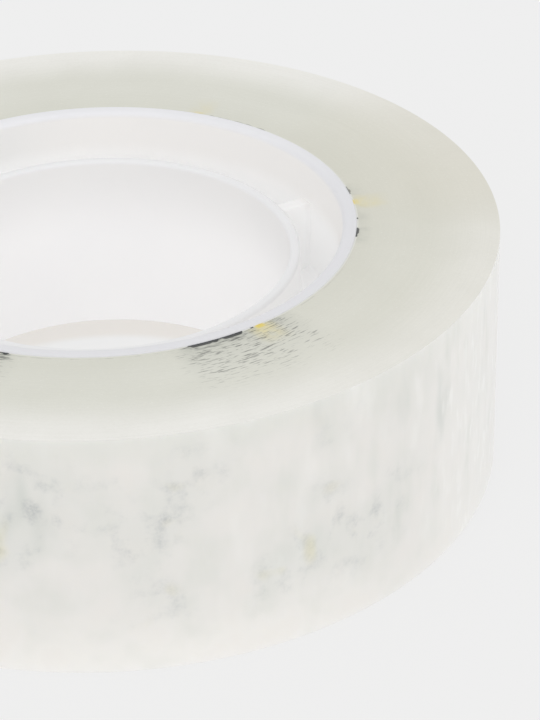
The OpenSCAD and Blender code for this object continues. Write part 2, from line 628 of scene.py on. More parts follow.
@dataclass(frozen=True)
class CorePlastic(Finish):
    """White moulded plastic, a little translucent. Its rims are painted in a darker, cooler shade, lighter on
    the far side as painted light, and the bore's top and the ring's inner wall near its mouths and on one
    side are painted darker, as shade.
    """

    name: ClassVar[str] = "core plastic"
    plain: ClassVar[dict[str, Any]] = {
        "IOR": 1.49,
        "Subsurface Weight": 0.1, "Subsurface Radius": (1.0, 1.0, 1.0), "Subsurface Scale": 0.8 * MM}
    core: "Core"
    wall: Colour = paint(254.6, 254.6, 254.6)
    # Painted shade on the ring's inner wall near its mouths and on one side, on the bore's top and on the
    # rims; painted light on the far rim
    ring_mouth_shade: Colour = paint(244, 242, 240)
    ring_shade: Colour = paint(234, 234, 233)
    bore: Colour = paint(250, 249, 249)
    bore_mouth_shade: Colour = paint(236, 235, 234)
    ring_rim_shade: Colour = paint(228, 228, 231)
    lit_rim: Colour = paint(237, 237, 240)
    hub_rim_shade: Colour = paint(238, 238, 239)
    cool: Colour = paint(214, 216, 224)
    cool_share: Ramp = Ramp(0.3, 0.7, 0.0, 0.05)
    grain_size: float = 0.25 * MM
    grain_height: float = 0.004 * MM
    cloud_size: float = 6 * MM
    roughness: float = 0.45
    roughness_swing: float = 0.12
    lit_azimuth: float = math.radians(90)
    lit_side: Ramp = Ramp(0.0, 0.9)
    shade_azimuth: float = math.radians(150)
    shade_side: Ramp = Ramp(0.5, 1.0)
    # Shares of half the core's height, from its middle
    mouth_start: float = 0.5
    mouth_end: float = 0.75
    # Distances past the ring's and the hub's walls, the bore and the rims
    past_ring: Ramp = Ramp(-0.7 * MM, -0.3 * MM)
    past_hub: Ramp = Ramp(0.3 * MM, 0.1 * MM)
    past_bore: Ramp = Ramp(0.5 * MM, 0.1 * MM)
    past_hub_top: Ramp = Ramp(-0.4 * MM, -0.1 * MM)
    past_hub_foot: Ramp = Ramp(0.1 * MM, 0.02 * MM)
    past_rim: Ramp = Ramp(-0.5 * MM, -0.15 * MM)

    def dress(self, surface: Surface) -> None:
        """Join up the plastic's nodes.

        Args:
            surface: The new surface.
        """
        canvas = surface.canvas
        mottle = surface.mottle(self.grain_size, self.cloud_size)
        least = self.roughness - self.roughness_swing / 2
        roughness = canvas.line(mottle["Grain"], self.roughness_swing, least)
        tone = self.tone(surface, canvas.ramp(mottle["Cloud"], self.cool_share))
        surface.set({"Base Color": tone, "Roughness": roughness})
        surface.bump(mottle["Grain"], self.grain_height)

    def tone(self, surface: Surface, cloud: Any) -> Socket:
        """Colour the walls, the bore and the rims with their fillets, with painted shade and painted light on
        them.

        Args:
            surface: The surface that is dressed.
            cloud: How much of the cool tone clouds the bore and the rims.

        Returns:
            The plastic's colour.
        """
        canvas, core = surface.canvas, self.core
        middle, half = core.sizes.middle, core.ring_half
        hub_top, hub_foot = middle + core.hub_half, middle - core.hub_half
        radius, height = surface.place["Radius"], surface.place["Height"]
        off_middle = canvas.off(height, middle)
        # The ring's inner wall is painted darker towards its mouths and on one side, as shade
        by_mouth = canvas.ramp(off_middle, Ramp(self.mouth_start * half, self.mouth_end * half))
        shaded = canvas.ramp(surface.towards(self.shade_azimuth), self.shade_side)
        ring = canvas.mix(shaded, self.ring_mouth_shade, self.ring_shade)
        on_ring = canvas.ramp(radius, self.past_ring.past(core.ring_r))
        tone = canvas.tinted(self.wall, ring, on_ring, by_mouth)
        # The bore is painted darker towards its top, as shade
        bore = canvas.mix(canvas.ramp(height, Ramp(middle, hub_top)), self.bore, self.bore_mouth_shade)
        in_bore = canvas.ramp(radius, self.past_bore.past(core.sizes.bore_r))
        tone = canvas.tinted(tone, canvas.mix(cloud, bore, self.cool), in_bore)
        # The hub's rims are painted darker, as shade
        on_hub = canvas.ramp(radius, self.past_hub.past(core.hub_r))
        at_top = canvas.ramp(height, self.past_hub_top.past(hub_top))
        at_foot = canvas.ramp(height, self.past_hub_foot.past(hub_foot))
        tone = canvas.tinted(tone, self.hub_rim_shade, on_hub, canvas.plus(at_top, at_foot))
        # The ring's rims are painted in a darker, cooler shade, and lighter on the far side as painted light
        lit = canvas.ramp(surface.towards(self.lit_azimuth), self.lit_side)
        rim = canvas.mix(cloud, canvas.mix(lit, self.ring_rim_shade, self.lit_rim), self.cool)
        return canvas.tinted(tone, rim, canvas.ramp(off_middle, self.past_rim.past(half)))


@dataclass(frozen=True)
class BandInk(Finish):
    """The band: a pale strip with dark dashes and yellow spots."""

    name: ClassVar[str] = "band print"
    grain_size: float = 0.2 * MM
    grain_height: float = 0.003 * MM
    cloud_size: float = 4 * MM
    roughness: Ramp = Ramp(0.3, 0.7, 0.42, 0.58)
    strip: Colour = paint(226, 226, 219)
    clear: ClassVar[Eases] = {"Facing": Ramp(-0.75, 0.45, 0.4)}
    layers: ClassVar[tuple[Layer, ...]] = (
        Layer(paint(48, 52, 56), {"Ink": Ramp(0.0, 0.15)} | clear),
        Layer(paint(234, 210, 92), {"Yellow": None} | clear),
    )

    def dress(self, surface: Surface) -> None:
        """Join up the nodes of the strip and its print.

        Args:
            surface: The new surface.
        """
        grain = surface.mottle(self.grain_size, self.cloud_size)["Grain"]
        signals = dict(surface.printed.items()) | {"Facing": surface.facing}
        tone = surface.layered(self.strip, self.layers, signals)
        surface.set({"Base Color": tone, "Roughness": surface.canvas.ramp(grain, self.roughness)})
        surface.bump(grain, self.grain_height)


@dataclass(frozen=True)
class WoundEdge(Finish):
    """The roll's flat faces: olive-grey edges of all the turns, with the band's ink showing through them,
    painted reflections of it along the turns, and a pale outer band of painted light.
    """

    name: ClassVar[str] = "wound tape edge"
    plain: ClassVar[dict[str, Any]] = {
        "Roughness": 0.45, "IOR": TAPE_IOR, "Coat Weight": 0.08, "Coat Roughness": 0.35}
    grain_size: float = 0.17 * MM
    cloud_size: float = 5 * MM
    patch_size: float = 1.2 * MM
    line_pitch: float = 0.085 * MM
    line_bends: float = 3.0
    line_height: float = 0.004 * MM
    # Round these azimuths the pale outer band of painted light is painted back to olive, as shade
    narrow_shade_azimuth: float = math.radians(20)
    narrow_shade_side: Ramp = Ramp(0.86, 0.99, 0.0, 0.6)
    broad_shade_azimuth: float = math.radians(-15)
    broad_shade_side: Ramp = Ramp(0.5, 1.0, 0.0, 0.4)
    clear_side: Ramp = Ramp(-0.75, 0.45)
    drawn_side: Ramp = Ramp(0.2, 0.9)
    streak_width: float = 0.11 * MM
    streak_length: float = 0.8 * MM
    streak_near: float = 0.08
    streak_patch: float = 0.09
    streak_ink: float = 0.5
    streak_reach: Ramp = Ramp(8.0 * MM, 0.0)
    streak_shade: Ramp = Ramp(0.66, 0.84, 0.0, 0.7)
    streak_fade: Ramp = Ramp(0.0, 0.7)
    seam_depth: float = 0.12 * MM
    echo_depth: float = 0.55 * MM
    dash_depth: float = 0.27 * MM
    dash_ink: Ramp = Ramp(0.0, 0.8)
    dash_drawn: Ramp = Ramp(0.0, 1.0, 0.45)
    by_ink: Ramp = Ramp(-2.0, 1.0)
    film: Colour = paint(219, 219, 208)
    line: Colour = paint(190, 190, 176)
    haze: Colour = paint(150, 154, 146)
    ink: Colour = paint(34, 37, 38)
    rough: ClassVar[Eases] = {"Patch": Ramp(0.35, 0.6, 0.35)}
    spread: ClassVar[Eases] = {"Cluster": None, "Drawn": None}
    layers: ClassVar[tuple[Layer, ...]] = (
        # The film, from the band outwards, with a pale outer band of painted light that is painted back to
        # olive, as shade, round two azimuths
        Layer(paint(223, 223, 213), {"Out": Ramp(0.0, 0.35)}),
        Layer(paint(241, 240, 235), {"Out": Ramp(0.45, 0.95)}),
        Layer(paint(216, 213, 198), {"Edge Shade": None, "Out": Ramp(0.0, 1.0, 0.45, 0.75)}),
        # Lines along the turns, grain, specks and clouds
        Layer(line, {"Lines": Ramp(0.35, 0.7, 0.0, 0.05)}),
        Layer(line, {"Grain": Ramp(0.4, 0.7, 0.0, 0.06)}),
        Layer(paint(246, 246, 240), {"Grain": Ramp(0.36, 0.24, 0.0, 0.4)}),
        Layer(line, {"Cloud": Ramp(0.35, 0.7, 0.0, 0.08)}),
        # Haze round the print, its yellow wash, and streaks that are painted reflections of the print
        Layer(haze, {"Depth": Ramp(5.6 * MM, 0.0, 0.0, 0.2)} | spread),
        Layer(haze, {"Depth": Ramp(1.2 * MM, 0.0, 0.0, 0.45), "By Ink": None, "Clear": None} | rough),
        Layer(paint(226, 214, 156), {
            "Depth": Ramp(3 * MM, 0.2 * MM, 0.0, 0.75), "Tint": None,
            "Clear": Ramp(0.0, 1.0, 0.35)} | rough),
        Layer(ink, {"Streaks": None} | spread),
        # Dashes next to the core, with a grey seam, an echo and yellow spots
        Layer(haze, {
            "Off Seam": Ramp(0.07 * MM, 0.02 * MM, 0.0, 0.3), "Drawn": None, "Patch": Ramp(0.45, 0.6)}),
        Layer(ink, {"Off Echo": Ramp(0.1 * MM, 0.03 * MM, 0.0, 0.6), "Ink": Ramp(0.3, 1.2), "Drawn": None}),
        Layer(ink, {"In Dash": Ramp(0.0, 0.07 * MM), "Clear": Ramp(0.0, 1.0, 0.35, 0.92)}),
        Layer(paint(230, 209, 100), {
            "Depth": Ramp(0.4 * MM, 0.2 * MM), "Yellow": None, "Drawn": Ramp(0.0, 1.0, 0.3, 0.85)}),
    )

    def dress(self, surface: Surface) -> None:
        """Join up the nodes of the turns' edges and of the print over them.

        Args:
            surface: The new surface.
        """
        signals = self.signals(surface)
        surface.set({"Base Color": surface.layered(self.film, self.layers, signals)})
        surface.bump(signals["Lines"], self.line_height)

    def signals(self, surface: Surface) -> dict[str, Any]:
        """Gather what the layers follow.

        Args:
            surface: The surface that is dressed.

        Returns:
            The sockets by name.
        """
        canvas, sizes, depth = surface.canvas, surface.groups.sizes, surface.depth
        printed = dict(surface.printed.items())
        mottle = dict(surface.mottle(self.grain_size, self.cloud_size).items())
        bends = canvas.scaled(surface.place["Around"], self.line_bends)
        # Painted shade that takes the pale outer band back to olive
        narrow_shade = canvas.ramp(surface.towards(self.narrow_shade_azimuth), self.narrow_shade_side)
        broad_shade = canvas.ramp(surface.towards(self.broad_shade_azimuth), self.broad_shade_side)
        drawn = canvas.ramp(surface.facing, self.drawn_side)
        patch = canvas.noise(surface.point, 1 / self.patch_size, Grit.ROUGH)
        by_ink = canvas.ramp(printed["Ink"], self.by_ink)
        dash = canvas.product(canvas.ramp(printed["Ink"], self.dash_ink), self.dash_depth)
        dash = canvas.product(dash, canvas.ramp(drawn, self.dash_drawn))
        return printed | mottle | {
            "Depth": depth,
            "Out": canvas.over(depth, sizes.under_r + STRIP_T - sizes.band_r),
            "Edge Shade": canvas.plus(broad_shade, narrow_shade),
            "Lines": surface.along_turns(self.line_pitch, bends, Grit.PLAIN),
            "Clear": canvas.ramp(surface.facing, self.clear_side),
            "Drawn": drawn,
            "Patch": patch,
            "By Ink": by_ink,
            "Streaks": self.streaks(surface, canvas.line(by_ink, self.streak_ink, patch)),
            "Off Seam": canvas.off(depth, self.seam_depth),
            "Off Echo": canvas.off(depth, self.echo_depth),
            "In Dash": canvas.minus(dash, depth),
        }

    def streaks(self, surface: Surface, patch: Any) -> Socket:
        """Draw short thin dark streaks along the turns, painted reflections of the band's ink, which grow
        fewer and fainter away from the band.

        Args:
            surface: The surface that is dressed.
            patch: A soft mottle that gathers the streaks.

        Returns:
            The streaks' strength.
        """
        canvas = surface.canvas
        bends = canvas.vector("DIVIDE", surface.place["On Band"], (self.streak_length,) * 3)
        level = surface.along_turns(self.streak_width, bends, Grit.ROUGH)
        near = canvas.ramp(surface.depth, self.streak_reach)
        level = canvas.line(near, self.streak_near, level)
        level = canvas.line(patch, self.streak_patch, level)
        return canvas.product(canvas.ramp(level, self.streak_shade), canvas.ramp(near, self.streak_fade))


@dataclass(frozen=True)
class WoundSide(Finish):
    """The roll's round side: milky clear film, with faint blots of print far below it. It is painted paler at
    its foot and on one side as light, darker near its top as shade, and carries upright streaks of painted
    reflection and shade.
    """

    name: ClassVar[str] = "wound tape side"
    plain: ClassVar[dict[str, Any]] = {
        "IOR": TAPE_IOR, "Coat Weight": 0.2, "Coat Roughness": 0.15,
        "Subsurface Weight": 0.35, "Subsurface Radius": (1.0, 1.0, 0.9), "Subsurface Scale": 3 * MM}
    roughness: Ramp = Ramp(0.3, 0.7, 0.4, 0.31)
    grain_size: float = 0.22 * MM
    cloud_size: float = 3.5 * MM
    # Azimuths of the foot that is painted paler as light, and of the side with a sheen of painted light
    foot_azimuth: float = math.radians(-100)
    sheen_azimuth: float = math.radians(-8)
    sheen_side: Ramp = Ramp(0.76, 0.97)
    sheen_streaks: Waves = Waves(17.0, 0.2)
    shade_streaks: Waves = Waves(9.0, 0.1)
    glint_streaks: Waves = Waves(48.0, 0.45)
    glint_streak_height: float = 0.004 * MM
    print_shift: tuple[float, float, float] = (31 * MM, 8 * MM, 4 * MM)
    belt_foot: Ramp = Ramp(0.12, 0.35)
    belt_top: Ramp = Ramp(1.0, 0.8)
    group_size: float = 7 * MM
    blot_size: float = 1.6 * MM
    tint_size: float = 3.2 * MM
    milk: Colour = paint(229, 227, 223)
    cloud: Colour = paint(215, 217, 210)
    pale: Colour = paint(240, 239, 236)
    near_sheen: ClassVar[Eases] = {"Pale Side": Ramp(0.1, 0.85, 0.1, 0.42), "Up": Ramp(0.02, 0.35)}
    grouped: ClassVar[Eases] = {"Groups": Ramp(0.42, 0.66), "Belt": None}
    layers: ClassVar[tuple[Layer, ...]] = (
        # The film, painted paler at its foot and on one side as light, and darker near its top as shade
        Layer(paint(237, 235, 231), {"Foot Side": Ramp(0.5, 0.95), "Up": Ramp(0.4, 0.0)}),
        Layer(cloud, {"Cloud": Ramp(0.42, 0.75, 0.0, 0.4)}),
        Layer(paint(232, 228, 223), {"Cloud": Ramp(0.5, 0.25, 0.0, 0.4)}),
        Layer(cloud, {"Up": Ramp(0.85, 1.0, 0.0, 0.5)}),
        Layer(pale, {"Pale Side": Ramp(0.76, 0.97, 0.0, 0.5)}),
        # Upright streaks of painted reflection and painted shade, darker upright streaks of painted shade,
        # and fine pale glints of painted reflection
        Layer(cloud, {"Sheen Streaks": Ramp(0.5, 0.75)} | near_sheen),
        Layer(pale, {"Sheen Streaks": Ramp(0.5, 0.25)} | near_sheen),
        Layer(paint(188, 194, 188), {"Shade Streaks": Ramp(0.58, 0.8, 0.0, 0.45), "Up": Ramp(0.1, 0.4)}),
        Layer(paint(251, 251, 249), {
            "Glint Streaks": Ramp(0.5, 0.75), "Painted Sheen": Ramp(0.2, 1.0, 0.04, 0.55), "Cloud": Ramp(0.35, 0.6, 0.3)}),
        # Blots of print, in scattered groups on a belt round the roll, kept off the painted sheen
        Layer(paint(200, 206, 199), {"Groups": Ramp(0.42, 0.66, 0.0, 0.2), "Belt": None}),
        Layer(paint(140, 148, 154), {
            "Blots": Ramp(0.46, 0.76, 0.0, 0.42), "Grain": Ramp(0.3, 0.7, 0.4)} | grouped),
        Layer(paint(226, 216, 160), {"Tints": Ramp(0.63, 0.76, 0.0, 0.3)} | grouped),
    )

    def dress(self, surface: Surface) -> None:
        """Join up the nodes of the film and of what shows in it.

        Args:
            surface: The new surface.
        """
        signals = self.signals(surface)
        tone = surface.layered(self.milk, self.layers, signals)
        roughness = surface.canvas.ramp(signals["Cloud"], self.roughness)
        surface.set({"Base Color": tone, "Roughness": roughness})
        surface.bump(signals["Glint Streaks"], self.glint_streak_height)

    def signals(self, surface: Surface) -> dict[str, Any]:
        """Gather what the layers follow.

        Args:
            surface: The surface that is dressed.

        Returns:
            The sockets by name.
        """
        canvas, sizes = surface.canvas, surface.groups.sizes
        above_foot = canvas.minus(surface.place["Height"], sizes.tape_low)
        up = canvas.over(above_foot, sizes.tape_high - sizes.tape_low)
        # One side of the roll is painted paler, as a sheen of painted light
        pale_side = surface.towards(self.sheen_azimuth)
        painted_sheen = canvas.ramp(pale_side, self.sheen_side)
        belt = canvas.product(canvas.ramp(up, self.belt_foot), canvas.ramp(up, self.belt_top))
        moved = canvas.vector("ADD", surface.point, self.print_shift)
        return dict(surface.mottle(self.grain_size, self.cloud_size).items()) | {
            "Up": up,
            # Round this side the foot is painted paler, as light
            "Foot Side": surface.towards(self.foot_azimuth),
            "Pale Side": pale_side,
            "Painted Sheen": painted_sheen,
            # Upright streaks of painted reflection and painted shade near the sheen
            "Sheen Streaks": surface.upright(self.sheen_streaks),
            # Darker upright streaks of painted shade
            "Shade Streaks": surface.upright(self.shade_streaks),
            # Pale upright glints of painted reflection, which also raise fine ripples through the bump
            "Glint Streaks": surface.upright(self.glint_streaks),
            "Belt": canvas.product(belt, canvas.minus(1.0, painted_sheen)),
            "Groups": canvas.noise(moved, 1 / self.group_size, Grit.PLAIN),
            "Blots": canvas.noise(moved, 1 / self.blot_size, Grit.BROKEN),
            "Tints": canvas.noise(moved, 1 / self.tint_size, Grit.PLAIN),
        }


@dataclass(frozen=True)
class ClearFilm(Finish):
    """A single layer of the tape: clear film with a faint haze."""

    name: ClassVar[str] = "clear film"
    plain: ClassVar[dict[str, Any]] = {
        "Base Color": paint(244, 244, 241), "Roughness": 0.31, "IOR": TAPE_IOR,
        "Coat Weight": 0.3, "Coat Roughness": 0.06}
    haze: Ramp = Ramp(0.3, 0.7, 0.29, 0.33)
    grain_size: float = 0.7 * MM
    cloud_size: float = 3 * MM

    def dress(self, surface: Surface) -> None:
        """Join up the film's nodes.

        Args:
            surface: The new surface.
        """
        cloud = surface.mottle(self.grain_size, self.cloud_size)["Cloud"]
        surface.set({"Alpha": surface.canvas.ramp(cloud, self.haze)})


def new_object(name: str, data: Any) -> Piece:
    """Put a mesh, a lamp or a camera into the scene.

    Args:
        name: The object's name.
        data: The mesh, the lamp or the camera.

    Returns:
        The object, at the origin.
    """
    piece = bpy.data.objects.new(name, data)
    bpy.context.scene.collection.objects.link(piece)
    return piece


def mesh_from(name: str, points: np.ndarray, faces: Faces) -> Mesh:
    """Make a mesh.

    Args:
        name: The mesh's name.
        points: Its points, three numbers each.
        faces: Its faces, as the numbers of their points.

    Returns:
        The mesh.
    """
    mesh = bpy.data.meshes.new(name)
    mesh.from_pydata(points.reshape(-1, 3).tolist(), [], faces)
    return mesh


def applied(piece: Piece) -> Piece:
    """Turn a piece's modifiers into plain mesh.

    Args:
        piece: An object with modifiers.

    Returns:
        The same object, with no modifier left.
    """
    bpy.context.view_layer.update()
    ready = piece.evaluated_get(bpy.context.evaluated_depsgraph_get())
    mesh = bpy.data.meshes.new_from_object(ready)
    mesh.name = piece.name
    piece.modifiers.clear()
    piece.data = mesh
    return piece


def grown(mesh: Mesh, tree: Tree, values: dict[str, Any]) -> Piece:
    """Make a piece by a geometry tree.

    Args:
        mesh: What the tree starts from, empty if it makes everything itself. The piece takes its name.
        tree: The geometry node tree.
        values: The tree's inputs by name.

    Returns:
        The piece, as plain mesh.
    """
    piece = new_object(mesh.name, mesh)
    modifier = piece.modifiers.new(tree.name, "NODES")
    modifier.node_group = tree
    sockets = {s.name: s.identifier for s in tree.interface.items_tree if s.in_out == "INPUT"}
    for key, value in values.items():
        modifier[sockets[key]] = value
    return applied(piece)


def settle(piece: Piece, node: str, body: Body | None = None) -> None:
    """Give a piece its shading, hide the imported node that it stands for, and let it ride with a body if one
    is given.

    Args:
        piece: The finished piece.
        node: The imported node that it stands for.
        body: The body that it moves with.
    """
    piece.data.shade_smooth()
    piece.data.set_sharp_from_angle(angle=SHARP_ANGLE)
    if body is not None:
        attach(piece, body.value)
    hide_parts(node)
    LOG.info("%s: %d faces", piece.name, len(piece.data.polygons))


def rounded(rows: list[tuple[float, float, float]], steps: int) -> list[Point]:
    """Round the corners of a closed outline.

    Args:
        rows: The corners, as two coordinates and a fillet.
        steps: How many pieces each fillet has.

    Returns:
        The points of the rounded outline.
    """
    outline: list[Point] = []
    for index, (*corner, fillet) in enumerate(rows):
        at = Vector(corner)
        before = Vector(rows[index - 1][:2])
        after = Vector(rows[(index + 1) % len(rows)][:2])
        to_before, to_after = (before - at).normalized(), (after - at).normalized()
        half = to_before.angle(to_after) / 2
        centre = at + (to_before + to_after).normalized() * fillet / math.sin(half)
        first = at + to_before * fillet / math.tan(half) - centre
        sweep = (math.pi - 2 * half) * (1 if to_after.cross(to_before) > 0 else -1)
        for step in range(steps + 1):
            arm = Matrix.Rotation(sweep * step / steps, 2) @ first
            outline.append((centre.x + arm.x, centre.y + arm.y))
    return outline


def swept(outline: list[Point], angles: np.ndarray) -> np.ndarray:
    """Carry an outline round the roll's axis.

    Args:
        outline: Points as radius and height, clockwise with the radius to the right.
        angles: The azimuths where it stops, in radians.

    Returns:
        Its points, by azimuth and place on the outline.
    """
    radius, height = np.array(outline).T
    x, y = np.cos(angles)[:, None] * radius, np.sin(angles)[:, None] * radius
    return np.stack([x, y, np.broadcast_to(height, x.shape)], axis=-1)


def lofted(name: str, rings: np.ndarray, cap: Faces | None = None) -> Mesh:
    """Join rings of as many points each into one closed skin.

    Args:
        name: The mesh's name.
        rings: Points by ring and place on it, anticlockwise as seen from the ring after.
        cap: The faces that close the last ring, or None where it joins the first.

    Returns:
        The mesh.
    """
    steps, count = rings.shape[:2]
    last = (steps - 1) * count
    faces: Faces = []
    for step in range(steps if cap is None else steps - 1):
        here, there = step * count, (step + 1) % steps * count
        for index in range(count):
            after = (index + 1) % count
            faces.append((here + index, here + after, there + after, there + index))
    for face in cap or []:
        faces.append(face[::-1])
        faces.append(tuple(last + index for index in face))
    return mesh_from(name, rings, faces)


@dataclass
class Core:
    """The moulded core: an outer ring and a shorter hub, joined by a web, with ribs in both channels."""

    sizes: RollSizes
    hub_wall: float = 0.7 * MM
    ring_wall: float = 1.0 * MM
    hub_recess: float = 2.2 * MM
    web_t: float = 1.0 * MM
    draft: float = math.radians(1)
    ring_fillet: float = 0.4 * MM
    edge_fillet: float = 0.12 * MM
    hub_fillet: float = 0.22 * MM
    root_fillet: float = 0.5 * MM
    rib_count: int = 3
    rib_t: float = 1.1 * MM
    rib_drop: float = 1.0 * MM
    rib_fillet: float = 0.5 * MM
    rib_edge: float = 0.15 * MM
    rib_azimuth: float = math.radians(27)
    buried_fillet: float = 0.05 * MM
    fillet_steps: int = 6

    @property
    def ring_half(self) -> float:
        """Half the core's height."""
        return (self.sizes.core_high - self.sizes.core_low) / 2

    @property
    def hub_half(self) -> float:
        """Half the hub's height."""
        return self.ring_half - self.hub_recess

    @property
    def hub_r(self) -> float:
        """The hub's outer radius at its rims."""
        return self.sizes.bore_r + self.hub_wall

    @property
    def ring_r(self) -> float:
        """The outer ring's inner radius at its rims."""
        return self.sizes.core_r - self.ring_wall

    def outline(self) -> list[Point]:
        """Lay out the core's section.

        Returns:
            The section's points, as radius and height, clockwise.
        """
        middle = self.sizes.middle
        web = self.web_t / 2
        hub_root = self.hub_r + (self.hub_half - web) * math.tan(self.draft)
        ring_root = self.ring_r - (self.ring_half - web) * math.tan(self.draft)
        upper = [
            (self.sizes.bore_r, self.hub_half, self.hub_fillet),
            (self.hub_r, self.hub_half, self.hub_fillet),
            (hub_root, web, self.root_fillet),
            (ring_root, web, self.root_fillet),
            (self.ring_r, self.ring_half, self.ring_fillet),
            (self.sizes.core_r, self.ring_half, self.edge_fillet),
        ]
        rows = [(r, middle + h, fillet) for r, h, fillet in upper]
        rows += [(r, middle - h, fillet) for r, h, fillet in reversed(upper)]
        return rounded(rows, self.fillet_steps)

    def rib_plan(self, inset: float) -> list[Point]:
        """Lay out a rib along X as it is seen from above, flared by fillets where it meets the two walls.

        Args:
            inset: How far its faces are drawn in.

        Returns:
            The plan's points, anticlockwise.
        """
        half = self.rib_t / 2
        start = self.hub_r - self.hub_wall / 2
        stop = self.ring_r + self.ring_wall / 2
        buried = self.buried_fillet
        flare = half + self.rib_fillet + 2 * buried
        root = math.sqrt(self.hub_r ** 2 - flare ** 2)
        side = [
            (start, flare, buried),
            (root, flare, buried),
            (root, half - inset, self.rib_fillet + inset),
            (self.ring_r, half - inset, self.rib_fillet + inset),
            (self.ring_r, flare, buried),
            (stop, flare, buried),
        ]
        return rounded([(x, -y, fillet) for x, y, fillet in side] + side[::-1], self.fillet_steps)

    def rib_mesh(self) -> Mesh:
        """Raise one rib from its plan, with rounded edges above and below.

        Returns:
            The rib's mesh.
        """
        middle = self.sizes.middle
        half = self.hub_half - self.rib_drop
        turns = [TURN / 4 * step / self.fillet_steps for step in range(self.fillet_steps + 1)]
        insets = [self.rib_edge * (1 - math.sin(turn)) for turn in turns]
        drops = [half - self.rib_edge * (1 - math.cos(turn)) for turn in turns]
        heights = [middle - drop for drop in drops] + [middle + drop for drop in reversed(drops)]
        plans = [self.rib_plan(inset) for inset in insets + insets[::-1]]
        rings = np.array([[(x, y, z) for x, y in plan] for plan, z in zip(plans, heights)])
        return lofted("ribs", rings, [tuple(range(len(plans[0])))])

    def rib_tree(self, values: dict[str, Any]) -> Tree:
        """Build the tree that sets copies of one rib round the axis.

        Args:
            values: The tree's inputs beside the rib.

        Returns:
            The geometry node tree.
        """
        geometry = SocketKind.GEOMETRY
        inputs = {"Rib": geometry} | sockets_for(values)
        canvas = new_tree("Core ribs", "GeometryNodeTree", inputs, {"Geometry": geometry})
        given = canvas.add("NodeGroupInput")
        points = canvas.add("GeometryNodePoints", {"Count": given["Count"]})[0]
        index = canvas.add("GeometryNodeInputIndex")[0]
        azimuth = canvas.line(index, canvas.over(TURN, given["Count"]), given["First Azimuth"])
        turn = canvas.add("FunctionNodeEulerToRotation", {0: canvas.combined(0.0, 0.0, azimuth)})[0]
        placed = {"Points": points, "Instance": given["Rib"], "Rotation": turn}
        ribs = canvas.add("GeometryNodeInstanceOnPoints", placed)[0]
        ribs = canvas.add("GeometryNodeRealizeInstances", {0: ribs})[0]
        dressed = {"Geometry": ribs, "Material": given["Material"]}
        return canvas.done({"Geometry": canvas.add("GeometryNodeSetMaterial", dressed)[0]})

    def build(self, material: Material) -> None:
        """Turn the section, join the ribs to it and dress the whole.

        Args:
            material: The core's plastic.
        """
        values = {"Count": self.rib_count, "First Azimuth": self.rib_azimuth, "Material": material}
        ribs = grown(self.rib_mesh(), self.rib_tree(values), values)
        rings = swept(self.outline(), np.arange(TURN_STEPS) * TURN / TURN_STEPS)
        core = new_object("core_moulding", lofted("core_moulding", rings))
        core.data.materials.append(material)
        union = core.modifiers.new("ribs", "BOOLEAN")
        union.operation = "UNION"
        union.solver = "EXACT"
        union.object = ribs
        applied(core)
        bpy.data.objects.remove(ribs)
        settle(core, "core", Body.ROLL)


@dataclass
class PrintedBand:
    """The thin printed strip round the core, with a small opening between its ends."""

    sizes: RollSizes
    seam: float = 0.8 * MM
    seam_azimuth: float = math.radians(200)

    def build(self, material: Material) -> None:
        """Wrap the strip round the core.

        Args:
            material: The band's print.
        """
        half = self.seam / self.sizes.band_r / 2
        angles = np.linspace(self.seam_azimuth + half, self.seam_azimuth + TURN - half, TURN_STEPS + 1)
        inner, outer = self.sizes.core_r, self.sizes.band_r
        low, high = self.sizes.tape_low, self.sizes.tape_high
        corners = [(inner, low), (inner, high), (outer, high), (outer, low)]
        band = new_object("printed_band", lofted("printed_band", swept(corners, angles), [(0, 1, 2, 3)]))
        band.data.materials.append(material)
        settle(band, "core_band", Body.ROLL)


